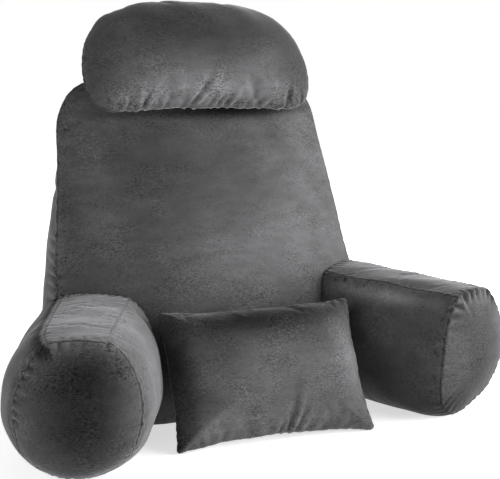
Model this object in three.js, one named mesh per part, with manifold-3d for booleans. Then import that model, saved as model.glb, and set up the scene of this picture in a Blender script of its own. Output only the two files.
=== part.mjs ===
// Reading pillow with arms: a filled backrest that leans back, two filled arms sewn to its lower
// corners, a D-shaped neck cushion on its top edge and a small lumbar cushion leaning on its face.
// Millimetres, +Z up, the sitter faces -Y. The origin is on the floor, under the middle of the whole.
import * as THREE from 'three';
import { mergeVertices } from 'three/addons/utils/BufferGeometryUtils.js';
import Module from 'manifold-3d';

const wasm = await Module();
wasm.setup();

// Driving dimensions
const SEAM_GAP = 0.35; // air between two cushions that touch
const ARM_HEIGHT = 209; // height of the seams along an arm's top strip
// From the backrest's middle line, at the depth of its side seams beside the arms, to the origin
const ORIGIN_SHIFT = { x: 5, y: 55.4 };

// Backrest: z is height, x is to the sitter's left, y is depth
const BACKREST = {
  halfWidthAtArms: 281, // between the front seams, at the height of the arms
  taper: 0.138, // half width lost per mm of height
  lean: 0.331, // backward run of the side seams per mm of height
  topSeam: 553, // height of the seam along the top
  topCorner: 78, // reach of the rounded top corners
  cornerSquareness: 0.58, // how far a top corner's curve runs straight on before it turns
  footCorner: 30, // reach of the rounded bottom corners
  middleShare: 0.46, // height that the panels' rings close round, as a share of the top's
  backDrop: 0.03, // share by which the back panel is lower than the front
  gussetBulge: 16, // how far the side strip stands out between its seams
  bulgeForward: 0.8, // under 1, the strip is fullest towards the front
  bulgeRoundness: 0.8,
  faceRoundness: 2.6, // power of the crown across the width
  aroundPoints: 64,
};
// The face's middle line, the two back lines, and the share by which the back panel is narrower
const BACKREST_PROFILE = [
  { height: 0, faceY: -138, backSeamY: 192, backY: 210, backInset: 0.15 },
  { height: 50, faceY: -163, backSeamY: 196, backY: 230, backInset: 0.155 },
  { height: 110, faceY: -158, backSeamY: 202, backY: 240, backInset: 0.165 },
  { height: 209, faceY: -108, backSeamY: 208, backY: 246, backInset: 0.185 },
  { height: 300, faceY: -58, backSeamY: 214, backY: 250, backInset: 0.215 },
  { height: 400, faceY: -8, backSeamY: 220, backY: 254, backInset: 0.25 },
  { height: 490, faceY: 42, backSeamY: 226, backY: 254, backInset: 0.285 },
  { height: 530, faceY: 78, backSeamY: 229, backY: 246, backInset: 0.3 },
  { height: 553, faceY: 114, backSeamY: 231, backY: 231, backInset: 0.31 },
];

// Arms: a strip of even width on top, full sides, a sewn cap at the front
const ARM = {
  capY: -294, // middle of the cap's seam
  halfWidth: 117,
  stripHalf: 45, // half width of the strip along the top
  stripCrown: 5,
  middleShare: 0.5, // height of the fullest part, as a share of the height
  sink: 9, // how far the round section would reach below the floor it is flattened on
  underRoundness: { across: 0.5, up: 0.4 }, // reach of the lower curve's two handles
  sideRise: 48, // how far the side runs straight up from the fullest part
  shoulderDrop: 22, // how far the shoulder turns below the strip's seam
  capForward: 16, // how far the middle of the cap's seam stands before its top
  capForwardFade: 120, // and how far back that carries on
  capRoundness: { side: 2.4, front: 0.8 },
  joinShear: 0.6, // extra length on the outer side where the arm meets the backrest
};
// Each arm's place across, degrees turned outwards, height of its strip, and fullness
const ARMS = {
  left: { side: 1, capX: 335, splay: 20, height: 212, fullness: 0.91, capBulge: 38 },
  right: { side: -1, capX: 339, splay: 24, height: 206, fullness: 1, capBulge: 48 },
};
const ARM_CURVE_POINTS = 8; // along each of the five curves of a section
// Stations from the cap's seam towards the backrest: width, how square the shoulders are, how far
// the underside is lifted, and how far the section is sheared
const ARM_STATIONS = [
  { back: 0, width: 0.83, shoulder: 0.55, lift: 20, shear: 0 },
  { back: 16, width: 0.9, shoulder: 0.62, lift: 10, shear: 0 },
  { back: 44, width: 0.965, shoulder: 0.72, lift: 2, shear: 0.04 },
  { back: 90, width: 1, shoulder: 0.78, lift: 0, shear: 0.15 },
  { back: 145, width: 1.01, shoulder: 0.8, lift: 0, shear: 0.4 },
  { back: 205, width: 1, shoulder: 0.8, lift: 0, shear: 0.75 },
  { back: 260, width: 0.96, shoulder: 0.78, lift: 0, shear: 1 },
  { back: 305, width: 0.88, shoulder: 0.7, lift: 0, shear: 1 },
  { back: 345, width: 0.7, shoulder: 0.6, lift: 12, shear: 1 },
];

// Neck cushion: two panels sewn edge to edge, straight below and round above
const NECK = {
  footX: -7,
  footY: 4, // the lower seam's place
  footZ: 499,
  lean: 27, // degrees from upright
  frontCrown: 66,
  backCrown: 60,
  aroundPoints: 64,
};
// Half of its outline from the middle of the lower seam up to the middle of the top
const NECK_OUTLINE = [
  { across: 0, up: 0 },
  { across: 90, up: 0 },
  { across: 154, up: 3 },
  { across: 189, up: 14 },
  { across: 207, up: 38 },
  { across: 212, up: 74 },
  { across: 207, up: 106 },
  { across: 194, up: 140 },
  { across: 163, up: 175 },
  { across: 112, up: 198 },
  { across: 56, up: 206 },
  { across: 0, up: 207 },
];

// Lumbar cushion: two rectangular panels sewn edge to edge
const LUMBAR = {
  footX: -7,
  footY: -281,
  footZ: 3,
  yaw: -6.4, // degrees turned about upright
  lean: 32, // degrees from upright
  width: 328,
  height: 224,
  drawIn: 5, // how far each side pulls in between the corners
  corner: 6,
  frontCrown: 56,
  backCrown: 74,
  aroundPoints: 64,
};

// How steeply an edge-sewn cushion rises from its seam
const CUSHION_ROUNDNESS = { edge: 2.2, crown: 0.6, ringBlend: 3 };

const PANEL_RINGS = [0.16, 0.36, 0.56, 0.72, 0.84, 0.92, 0.97];
const GUSSET_RINGS = [0.12, 0.32, 0.5, 0.68, 0.88];

const mix = (a, b, t) => a + (b - a) * t;
const radians = THREE.MathUtils.degToRad;

// A column of a table at a value of its first column, smoothly between the rows
function readTable(table, key, column, at) {
  const last = table.length - 1;
  const clamped = THREE.MathUtils.clamp(at, table[0][key], table[last][key]);
  let row = 0;
  while (row < last - 1 && clamped > table[row + 1][key]) row += 1;
  const slope = (i) => {
    const from = Math.max(i - 1, 0);
    const to = Math.min(i + 1, last);
    return (table[to][column] - table[from][column]) / (table[to][key] - table[from][key]);
  };
  const span = table[row + 1][key] - table[row][key];
  const t = (clamped - table[row][key]) / span;
  const start = (1 + 2 * t) * (1 - t) ** 2 * table[row][column];
  const end = t * t * (3 - 2 * t) * table[row + 1][column];
  return start + end + span * (t * (1 - t) ** 2 * slope(row) + t * t * (t - 1) * slope(row + 1));
}

// A closed body through a first pole, rings of equally many points, and a last pole
function bodyThrough(firstPole, rings, lastPole) {
  const count = rings[0].length;
  const points = [firstPole, ...rings.flat(), lastPole];
  const faces = [];
  const at = (ring, i) => 1 + ring * count + (i % count);
  for (let i = 0; i < count; i += 1) {
    faces.push(0, at(0, i), at(0, i + 1));
    for (let ring = 0; ring < rings.length - 1; ring += 1) {
      faces.push(at(ring, i), at(ring + 1, i), at(ring + 1, i + 1));
      faces.push(at(ring, i), at(ring + 1, i + 1), at(ring, i + 1));
    }
    faces.push(points.length - 1, at(rings.length - 1, i + 1), at(rings.length - 1, i));
  }
  const geometry = new THREE.BufferGeometry().setFromPoints(points);
  geometry.setIndex(faces);
  geometry.computeVertexNormals();
  return geometry;
}

// The same body with every point moved outwards along its normal
function grown(geometry, distance) {
  const copy = geometry.clone();
  const place = copy.getAttribute('position');
  const normal = copy.getAttribute('normal');
  for (let i = 0; i < place.count; i += 1) {
    const moved = new THREE.Vector3().fromBufferAttribute(place, i);
    moved.addScaledVector(new THREE.Vector3().fromBufferAttribute(normal, i), distance);
    place.setXYZ(i, moved.x, moved.y, moved.z);
  }
  return copy;
}

function toSolid(geometry) {
  const bare = geometry.clone();
  bare.deleteAttribute('normal');
  bare.deleteAttribute('uv');
  const merged = mergeVertices(bare, 1e-3);
  const mesh = new wasm.Mesh({
    numProp: 3,
    vertProperties: merged.getAttribute('position').array,
    triVerts: new Uint32Array(merged.index.array),
  });
  return new wasm.Manifold(mesh);
}

function toGeometry(solid) {
  const mesh = solid.getMesh();
  const geometry = new THREE.BufferGeometry();
  geometry.setAttribute('position', new THREE.BufferAttribute(mesh.vertProperties, 3));
  geometry.setIndex(new THREE.BufferAttribute(mesh.triVerts, 1));
  return geometry;
}

const cutBy = (geometry, ...cutters) =>
  toGeometry(cutters.reduce((solid, cutter) => solid.subtract(toSolid(cutter)), toSolid(geometry)));

// What lies under the floor
const FLOOR_BLOCK = { width: 2000, depth: 200 };
const underFloor = new THREE.BoxGeometry(FLOOR_BLOCK.width, FLOOR_BLOCK.width, FLOOR_BLOCK.depth);
underFloor.translate(0, 0, -FLOOR_BLOCK.depth / 2);

// Half width of the backrest between its front seams
const backrestHalf = (z) => BACKREST.halfWidthAtArms + BACKREST.taper * (ARM_HEIGHT - z);

// The backrest's front outline in x and height, from the middle of the foot round by +x
function backrestOutline() {
  const { topSeam, topCorner, cornerSquareness, footCorner, taper } = BACKREST;
  const side = (z, sign) => [sign * backrestHalf(z), z];
  const shape = new THREE.Path();
  shape.moveTo(0, 0);
  shape.lineTo(backrestHalf(0) - footCorner, 0);
  shape.quadraticCurveTo(...side(0, 1), ...side(footCorner, 1));
  shape.lineTo(...side(topSeam - topCorner, 1));
  const topX = backrestHalf(topSeam) - topCorner * (1 - taper);
  const shoulderZ = topSeam - topCorner * (1 - cornerSquareness);
  const shoulderX = topX + topCorner * cornerSquareness;
  shape.bezierCurveTo(...side(shoulderZ, 1), shoulderX, topSeam, topX, topSeam);
  shape.lineTo(-topX, topSeam);
  shape.bezierCurveTo(-shoulderX, topSeam, ...side(shoulderZ, -1), ...side(topSeam - topCorner, -1));
  shape.lineTo(...side(footCorner, -1));
  shape.quadraticCurveTo(...side(0, -1), -backrestHalf(0) + footCorner, 0);
  shape.lineTo(0, 0);
  return shape.getSpacedPoints(BACKREST.aroundPoints).slice(0, -1);
}

// Depth of the face, and of the back, at a place on it: level with the seam at the sides, full between
function backrestDepth(x, z, fullColumn, seamY) {
  const share = Math.min(Math.abs(x) / backrestHalf(z), 1);
  const full = readTable(BACKREST_PROFILE, 'height', fullColumn, z);
  return mix(full, seamY, share ** BACKREST.faceRoundness);
}
const faceY = (x, z) => backrestDepth(x, z, 'faceY', BACKREST.lean * (z - ARM_HEIGHT));
const backY = (x, z) => backrestDepth(x, z, 'backY', readTable(BACKREST_PROFILE, 'height', 'backSeamY', z));

function backrest() {
  const outline = backrestOutline();
  const middle = new THREE.Vector2(0, BACKREST.topSeam * BACKREST.middleShare);
  const frontRing = (share) =>
    outline.map((point) => {
      const { x, y: z } = middle.clone().lerp(point, share);
      return new THREE.Vector3(x, faceY(x, z), z);
    });
  // The back panel is the same outline drawn in at the sides and a little lower
  const backRing = (share) =>
    outline.map((point) => {
      const { x, y: z } = middle.clone().lerp(point, share);
      const inner = 1 - readTable(BACKREST_PROFILE, 'height', 'backInset', z);
      return new THREE.Vector3(x * inner, backY(x, z), z * (1 - BACKREST.backDrop));
    });
  const frontSeam = frontRing(1);
  const backSeam = backRing(1);
  const outwards = outline.map((point, i) => {
    const before = outline.at(i - 1);
    const after = outline[(i + 1) % outline.length];
    const across = new THREE.Vector2(after.y - before.y, before.x - after.x).normalize();
    return point.y < 1 ? new THREE.Vector2() : across;
  });
  const gussetRing = (share) =>
    frontSeam.map((point, i) => {
      const { gussetBulge, bulgeForward, bulgeRoundness } = BACKREST;
      const bulge = gussetBulge * Math.sin(Math.PI * share ** bulgeForward) ** bulgeRoundness;
      const place = point.clone().lerp(backSeam[i], share);
      place.add(new THREE.Vector3(outwards[i].x * bulge, 0, outwards[i].y * bulge));
      return place.setZ(Math.max(place.z, 0));
    });
  const rings = [
    ...PANEL_RINGS.map(frontRing),
    frontSeam,
    ...GUSSET_RINGS.map(gussetRing),
    backSeam,
    ...[...PANEL_RINGS].reverse().map(backRing),
  ];
  const pole = (depth) => new THREE.Vector3(middle.x, depth(middle.x, middle.y), middle.y);
  return bodyThrough(pole(faceY), rings, pole(backY));
}

// An arm's section in across (outwards) and height: from its lowest point up the outer side,
// over the flat strip and down the inner side
function armSection({ height, fullness }, { width, shoulder, lift }) {
  const { stripHalf, stripCrown, underRoundness, sideRise, shoulderDrop } = ARM;
  const half = ARM.halfWidth * width * fullness;
  const low = lift - ARM.sink;
  const middle = mix(low, height, ARM.middleShare);
  const under = { across: half * underRoundness.across, height: mix(low, middle, underRoundness.up) };
  const turn = { across: mix(stripHalf, half, shoulder), height: height - shoulderDrop };
  const path = new THREE.Path();
  path.moveTo(0, low);
  path.bezierCurveTo(under.across, low, half, under.height, half, middle);
  path.bezierCurveTo(half, middle + sideRise, turn.across, turn.height, stripHalf, height);
  path.quadraticCurveTo(0, height + 2 * stripCrown, -stripHalf, height);
  path.bezierCurveTo(-turn.across, turn.height, -half, middle + sideRise, -half, middle);
  path.bezierCurveTo(-half, under.height, -under.across, low, 0, low);
  const ring = path.getPoints(ARM_CURVE_POINTS).slice(0, -1);
  return ring.map(({ x, y }) => new THREE.Vector2(x, Math.max(y, 0)));
}

function arm(shape) {
  const { side, splay, height } = shape;
  const turn = radians(splay);
  const forward = new THREE.Vector3(side * Math.sin(turn), -Math.cos(turn), 0);
  const outwards = new THREE.Vector3(side * Math.cos(turn), Math.sin(turn), 0);
  const cap = new THREE.Vector3(side * shape.capX, ARM.capY, 0);
  const place = (across, z, ahead) =>
    cap.clone().addScaledVector(outwards, across).addScaledVector(forward, ahead).setZ(z);
  const capAhead = (z) => ARM.capForward * Math.sin(Math.PI * (1 - Math.min(z / height, 1)));
  const stationRing = (station) =>
    armSection(shape, station).map(({ x, y }) => {
      const ahead = capAhead(y) * Math.max(1 - station.back / ARM.capForwardFade, 0);
      return place(x, y, ahead - station.back - station.shear * ARM.joinShear * x);
    });
  const first = ARM_STATIONS[0];
  const capMiddle = mix(first.lift, height, ARM.middleShare);
  const capRing = (share) =>
    armSection(shape, first).map(({ x, y }) => {
      const { side: sidePower, front: frontPower } = ARM.capRoundness;
      const bulge = shape.capBulge * (1 - share ** sidePower) ** frontPower;
      const z = mix(capMiddle, y, share);
      return place(x * share, z, capAhead(z) + bulge);
    });
  const last = ARM_STATIONS.at(-1);
  const rings = [...PANEL_RINGS.map(capRing), ...ARM_STATIONS.map(stationRing)];
  const front = place(0, capMiddle, shape.capBulge + capAhead(capMiddle));
  const end = place(0, capMiddle, -last.back);
  const body = side > 0 ? rings : rings.map((ring) => [...ring].reverse());
  return bodyThrough(front, body, end);
}

// Two panels sewn edge to edge along an outline in across and up, crowned to both sides.
// The rings follow the outline at the seam and turn into ellipses towards the middle.
function edgeSewnCushion(outline, frontCrown, backCrown) {
  const box = new THREE.Box2().setFromPoints(outline);
  const middle = box.getCenter(new THREE.Vector2());
  const half = box.getSize(new THREE.Vector2()).multiplyScalar(0.5);
  const fullness = (share) => (1 - share ** CUSHION_ROUNDNESS.edge) ** CUSHION_ROUNDNESS.crown;
  const ring = (share, crown) =>
    outline.map((point) => {
      const offset = point.clone().sub(middle);
      const round = offset.clone().divide(half).normalize().multiply(half);
      const blended = round.lerp(offset, share ** CUSHION_ROUNDNESS.ringBlend);
      const { x, y } = blended.multiplyScalar(share).add(middle);
      return new THREE.Vector3(x, -crown * fullness(share), y);
    });
  const rings = [
    ...PANEL_RINGS.map((share) => ring(share, frontCrown)),
    ring(1, 0),
    ...[...PANEL_RINGS].reverse().map((share) => ring(share, -backCrown)),
  ];
  const pole = (crown) => new THREE.Vector3(middle.x, -crown, middle.y);
  return bodyThrough(pole(frontCrown), rings, pole(-backCrown));
}

function neckOutline() {
  const right = NECK_OUTLINE.map(({ across, up }) => new THREE.Vector2(across, up));
  const left = right.slice(1, -1).reverse().map(({ x, y }) => new THREE.Vector2(-x, y));
  const loop = [...right, ...left].map(({ x, y }) => new THREE.Vector3(x, y, 0));
  const curve = new THREE.CatmullRomCurve3(loop, true, 'centripetal');
  return curve.getSpacedPoints(NECK.aroundPoints).slice(0, -1).map(({ x, y }) => new THREE.Vector2(x, y));
}

function neckCushion() {
  const { frontCrown, backCrown, lean, footX, footY, footZ } = NECK;
  const cushion = edgeSewnCushion(neckOutline(), frontCrown, backCrown);
  return cushion.rotateX(-radians(lean)).translate(footX, footY, footZ);
}

function lumbarOutline() {
  const { width, height, drawIn, corner } = LUMBAR;
  const half = width / 2;
  const corners = [[half, 0], [half, height], [-half, height], [-half, 0]];
  const middle = [0, height / 2];
  const towards = (from, to, distance) => {
    const length = Math.hypot(to[0] - from[0], to[1] - from[1]);
    return [0, 1].map((k) => mix(from[k], to[k], distance / length));
  };
  const shape = new THREE.Path();
  shape.moveTo(...towards(corners[0], corners[3], corner));
  corners.forEach((at, i) => {
    const next = corners[(i + 1) % 4];
    const between = [0, 1].map((k) => (at[k] + next[k]) / 2);
    shape.quadraticCurveTo(...at, ...towards(at, next, corner));
    shape.quadraticCurveTo(...towards(between, middle, 2 * drawIn), ...towards(next, at, corner));
  });
  return shape.getSpacedPoints(LUMBAR.aroundPoints).slice(0, -1);
}

function lumbarCushion() {
  const { frontCrown, backCrown, lean, yaw, footX, footY, footZ } = LUMBAR;
  const cushion = edgeSewnCushion(lumbarOutline(), frontCrown, backCrown);
  return cushion.rotateX(-radians(lean)).rotateZ(radians(yaw)).translate(footX, footY, footZ);
}

const cloth = new THREE.MeshStandardMaterial({ color: 0x4c4d50, roughness: 0.92, metalness: 0 });
const pillow = new THREE.Group();
function addPiece(name, geometry) {
  const piece = new THREE.Mesh(geometry, cloth.clone());
  piece.name = name;
  pillow.add(piece);
}

const backrestBody = backrest();
const backrestRoom = grown(backrestBody, SEAM_GAP);
addPiece('backrest', backrestBody);
addPiece('arm_left', cutBy(arm(ARMS.left), backrestRoom));
addPiece('arm_right', cutBy(arm(ARMS.right), backrestRoom));
addPiece('neck_cushion', cutBy(neckCushion(), backrestRoom));
addPiece('lumbar_cushion', cutBy(lumbarCushion(), backrestRoom, underFloor));
pillow.position.set(ORIGIN_SHIFT.x, ORIGIN_SHIFT.y, 0);

export default pillow;
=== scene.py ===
"""Reading pillow with arms: backrest, arms, neck cushion and lumbar cushion in short grey plush.

Each cover is a closed grid of squares worked out from its seams, filled by a short cloth
simulation whose seams are held, and then given its seam channels, gathers and folds.
"""
from math import radians

import bpy
import numpy as np
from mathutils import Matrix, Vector


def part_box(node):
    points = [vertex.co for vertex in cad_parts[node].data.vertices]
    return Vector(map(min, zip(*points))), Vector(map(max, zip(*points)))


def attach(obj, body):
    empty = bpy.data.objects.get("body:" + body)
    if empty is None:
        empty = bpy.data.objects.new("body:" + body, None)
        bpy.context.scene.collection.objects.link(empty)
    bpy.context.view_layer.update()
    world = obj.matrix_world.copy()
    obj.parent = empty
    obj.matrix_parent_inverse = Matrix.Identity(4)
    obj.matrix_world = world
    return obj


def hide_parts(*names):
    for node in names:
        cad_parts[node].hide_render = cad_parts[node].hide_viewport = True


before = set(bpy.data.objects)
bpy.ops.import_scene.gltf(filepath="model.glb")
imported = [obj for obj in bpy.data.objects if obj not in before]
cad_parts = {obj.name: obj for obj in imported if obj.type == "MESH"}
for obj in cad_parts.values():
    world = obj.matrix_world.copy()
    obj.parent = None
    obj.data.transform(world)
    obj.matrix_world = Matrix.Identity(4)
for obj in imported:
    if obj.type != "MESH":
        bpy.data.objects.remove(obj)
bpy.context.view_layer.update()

# Sizes in metres, in the backrest's own frame: x from its middle line, y from the depth of the
# side seams at the arms' height, z from the floor. MIDDLE carries that frame into the model's.
back_low, back_high = (np.array(corner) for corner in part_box("backrest"))
SIDE_SEAM_Y = 0.0554
MIDDLE = np.array([(back_low[0] + back_high[0]) / 2, SIDE_SEAM_Y, 0.0])
FLOOR_AIR = 0.0004

ARM_HEIGHT = 0.209
SEAM_AIR = 0.0008  # between two covers that touch

BACK_HALF_AT_ARMS = 0.281
BACK_TAPER = 0.126
BACK_LEAN = 0.331
BACK_TOP = 0.553
BACK_CORNER = 0.084
BACK_SQUARENESS = 0.58
BACK_FOOT_CORNER = 0.03
BACK_PANEL_DROP = 0.03
BACK_BULGE = 0.016
BACK_BULGE_AT_TOP = 0.004
FACE_ROUNDNESS = 2.6
# height, middle of the face, back seam, middle of the back, share the back panel is narrower
BACK_PROFILE = np.array([
    (0.000, -0.138, 0.192, 0.210, 0.150),
    (0.050, -0.163, 0.196, 0.230, 0.155),
    (0.110, -0.158, 0.202, 0.240, 0.165),
    (0.209, -0.108, 0.208, 0.246, 0.185),
    (0.300, -0.058, 0.214, 0.250, 0.215),
    (0.400, -0.008, 0.220, 0.254, 0.250),
    (0.490, 0.042, 0.226, 0.254, 0.285),
    (0.530, 0.078, 0.229, 0.246, 0.300),
    (0.553, 0.114, 0.231, 0.231, 0.310),
])

ARM_ACROSS = 52  # columns of the cap's grid, and steps across the strip
ARM_CAP_Y = -0.294
ARM_HALF = 0.117
STRIP_HALF = 0.046
STRIP_WIDENS = 0.040  # metres a metre back
STRIP_CROWN = 0.005
ARM_SINK = 0.009
SIDE_RISE = 0.048
SHOULDER_DROP = 0.022
CAP_FORWARD = 0.016
# distance behind the cap's seam, width, squareness of the shoulder, lift of the underside, and
# how far the section is sheared so that it meets the leaning backrest
ARM_PROFILE = np.array([
    (0.000, 0.83, 0.55, 0.016, 0.00),
    (0.016, 0.90, 0.62, 0.008, 0.00),
    (0.044, 0.965, 0.72, 0.002, 0.04),
    (0.090, 1.00, 0.78, 0.000, 0.15),
    (0.145, 1.01, 0.80, 0.000, 0.40),
    (0.205, 1.00, 0.80, 0.000, 0.75),
    (0.260, 0.96, 0.78, 0.000, 1.00),
    (0.305, 0.88, 0.70, 0.000, 1.00),
    (0.345, 0.70, 0.60, 0.012, 1.00),
])
ARM_SHEAR = 0.6
ARMS = {
    "arm_left": dict(side=1, cap_x=0.3295, splay=20, height=0.214, fullness=0.91, cap_bulge=0.012,
                     cap_width=1.0, cap_top_forward=0.014, inner_foot=0.74, outer_foot=0.50,
                     drawn_in=0.0, growth=0.002, grain=0.40),
    "arm_right": dict(side=-1, cap_x=0.338, splay=24, height=0.206, fullness=0.985, cap_bulge=0.048,
                      cap_width=0.94, cap_top_forward=0.0, inner_foot=0.50, outer_foot=0.56,
                      drawn_in=0.014, growth=0.002, grain=0.52),
}

NECK_FOOT = np.array([-0.007, 0.004, 0.499])
NECK_LEAN = 27
NECK_ROLL = 1.0
NECK_CROWNS = (-0.066, 0.060)  # of the front and back panels, in y
# half width and height along the neck cushion's outline, from its lower seam to its top
NECK_OUTLINE = np.array([
    (0.000, 0.008), (0.090, 0.006), (0.154, 0.003), (0.188, 0.014), (0.204, 0.038), (0.208, 0.074),
    (0.204, 0.106), (0.192, 0.140), (0.162, 0.175), (0.112, 0.198), (0.056, 0.206), (0.000, 0.207),
])

LUMBAR_FOOT = np.array([-0.007, -0.281, 0.003])
LUMBAR_LEAN = 32
LUMBAR_YAW = -6.4
LUMBAR_WIDTH = 0.328
LUMBAR_HEIGHT = 0.224
LUMBAR_CORNER = 0.005
LUMBAR_CROWNS = (-0.056, 0.074)
# how far each side pulls in between its corners: top, right, bottom, left
LUMBAR_DRAW = (0.005, 0.006, 0.011, 0.006)


# ---------------------------------------------------------------- curves and grids

def mix(a, b, t):
    return a + (b - a) * t


def smooth_table(table, column, at):
    """A table's column at values of its first column: a cubic through the rows, with each row's
    slope taken from its two neighbours."""
    keys, values = table[:, 0], table[:, column]
    at = np.clip(at, keys[0], keys[-1])
    row = np.clip(np.searchsorted(keys, at) - 1, 0, len(keys) - 2)
    key_ends = np.concatenate([keys[:1], keys, keys[-1:]])
    value_ends = np.concatenate([values[:1], values, values[-1:]])
    slopes = (value_ends[2:] - value_ends[:-2]) / (key_ends[2:] - key_ends[:-2])
    span = keys[row + 1] - keys[row]
    t = (at - keys[row]) / span
    start = (1 + 2 * t) * (1 - t) ** 2 * values[row] + t * t * (3 - 2 * t) * values[row + 1]
    return start + span * (t * (1 - t) ** 2 * slopes[row] + t * t * (t - 1) * slopes[row + 1])


def eased(value, start, stop):
    """0 before start, 1 after stop, and a smooth step in between."""
    t = np.clip((value - start) / (stop - start), 0, 1)
    return t * t * (3 - 2 * t)


def bezier(points, t):
    """A Bezier curve of three or four points, which may be arrays of points: neighbours are mixed
    by t, again and again, until one is left."""
    points = [np.asarray(point, float) for point in points]
    while len(points) > 1:
        points = [mix(a, b, t) for a, b in zip(points[:-1], points[1:])]
    return points[0]


def equal_steps(curve, count):
    """A closed line of points read at equal lengths."""
    loop = np.vstack([curve, curve[:1]])
    length = np.concatenate([[0], np.cumsum(np.linalg.norm(np.diff(loop, axis=0), axis=1))])
    at = np.linspace(0, length[-1], count, endpoint=False)
    return np.stack([np.interp(at, length, loop[:, k]) for k in range(loop.shape[1])], 1)


def round_curve(points, count=2400):
    """A closed curve through points: between two of them a cubic whose ends run as the line
    between their neighbours does."""
    t = np.linspace(0, 1, 80, endpoint=False)[None, :, None]
    slope = (np.roll(points, -1, 0) - np.roll(points, 1, 0)) / 2
    a, b = points[:, None], np.roll(points, -1, 0)[:, None]
    slope_a, slope_b = slope[:, None], np.roll(slope, -1, 0)[:, None]
    curve = ((1 + 2 * t) * (1 - t) ** 2 * a + t * (1 - t) ** 2 * slope_a
             + t * t * (3 - 2 * t) * b + t * t * (t - 1) * slope_b)
    return equal_steps(curve.reshape(-1, points.shape[1]), count)


def crowded(count, pull):
    """Numbers from 0 to 1 that crowd towards both ends: even steps less a share of a sine."""
    t = np.linspace(0, 1, count + 1)
    return t - pull * np.sin(2 * np.pi * t) / (2 * np.pi)


def rim_of(curve, corners, across, down, pull):
    """A panel's rim, clockwise from its top left corner: a closed curve cut near four corner
    points, each side read at steps that crowd towards its ends."""
    cuts = [int(np.argmin(np.linalg.norm(curve - corner, axis=1))) for corner in corners]
    rim = []
    for side in range(4):
        start, stop = cuts[side], cuts[(side + 1) % 4]
        stop += len(curve) * (stop <= start)
        at = mix(start, stop, crowded(down if side % 2 else across, pull)[:-1])
        whole = np.floor(at).astype(int)
        part = (at - whole)[:, None]
        rim.append(mix(curve[whole % len(curve)], curve[(whole + 1) % len(curve)], part))
    return np.concatenate(rim)


def rim_cells(across, down):
    """Row and column of each rim point of a panel, clockwise from its top left corner."""
    rows = [np.zeros(across), np.arange(down), np.full(across, down), np.arange(down, 0, -1)]
    columns = [np.arange(across), np.full(down, across), np.arange(across, 0, -1), np.zeros(down)]
    return np.concatenate(rows).astype(int), np.concatenate(columns).astype(int)


def spanned(rim, across, down, pull):
    """A panel spanned by its rim: the blend of its left and right sides, plus that of its top and
    bottom, less that of its four corners."""
    grid = np.zeros((down + 1, across + 1, rim.shape[1]))
    grid[rim_cells(across, down)] = rim
    u = crowded(across, pull)[None, :, None]
    v = crowded(down, pull)[:, None, None]
    corners = mix(mix(grid[:1, :1], grid[:1, -1:], u), mix(grid[-1:, :1], grid[-1:, -1:], u), v)
    return mix(grid[:, :1], grid[:, -1:], u) + mix(grid[:1], grid[-1:], v) - corners


def seen_from(points, middle, half):
    """Angle and distance of points from a middle, in half widths."""
    offset = (points - middle) / half
    return np.arctan2(offset[..., 1], offset[..., 0]), np.linalg.norm(offset, axis=-1)


def polar(curve, middle, half):
    """A closed curve seen from its middle: sorted angles, distances and places along."""
    angle, reach = seen_from(curve, middle, half)
    order = np.argsort(angle)
    return angle[order], reach[order], order / len(curve)


def share_of(points, curve, middle, half, blend):
    """How far out each point lies, 0 at the middle and 1 on the curve, where the ring at a share
    s reaches s + (reach - 1) * s ** (blend + 1): an ellipse inside that turns into the curve."""
    angles, reaches, _ = polar(curve, middle, half)
    angle, distance = seen_from(points, middle, half)
    reach = np.interp(angle, angles, reaches, period=2 * np.pi)
    share = distance / np.maximum(mix(1, reach, np.clip(distance, 0, 1) ** blend), 1e-6)
    for _ in range(12):
        miss = share + (reach - 1) * share ** (blend + 1) - distance
        share = share - miss / (1 + (blend + 1) * (reach - 1) * share ** blend)
        share = np.clip(share, 0, 1)
    return share


def doubled(grid, axis, closed):
    """A grid with a value put in between each two along one axis, by the cubic through the four
    values round it."""
    grid = np.moveaxis(grid, axis, 0)
    if closed:
        ends = np.concatenate([grid[-1:], grid, grid[:2]])
    else:
        ends = np.concatenate([2 * grid[:1] - grid[1:2], grid, 2 * grid[-1:] - grid[-2:-1]])
    between = (9 * (ends[1:-2] + ends[2:-1]) - ends[:-3] - ends[3:]) / 16
    out = np.empty((len(grid) + len(between),) + grid.shape[1:])
    out[0::2], out[1::2] = grid, between
    return np.moveaxis(out, 0, axis)


# ---------------------------------------------------------------- covers

def quads(*corners):
    """Faces from four grids that hold each face's corners in turn."""
    return np.stack(corners, -1).reshape(-1, 4)


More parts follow.
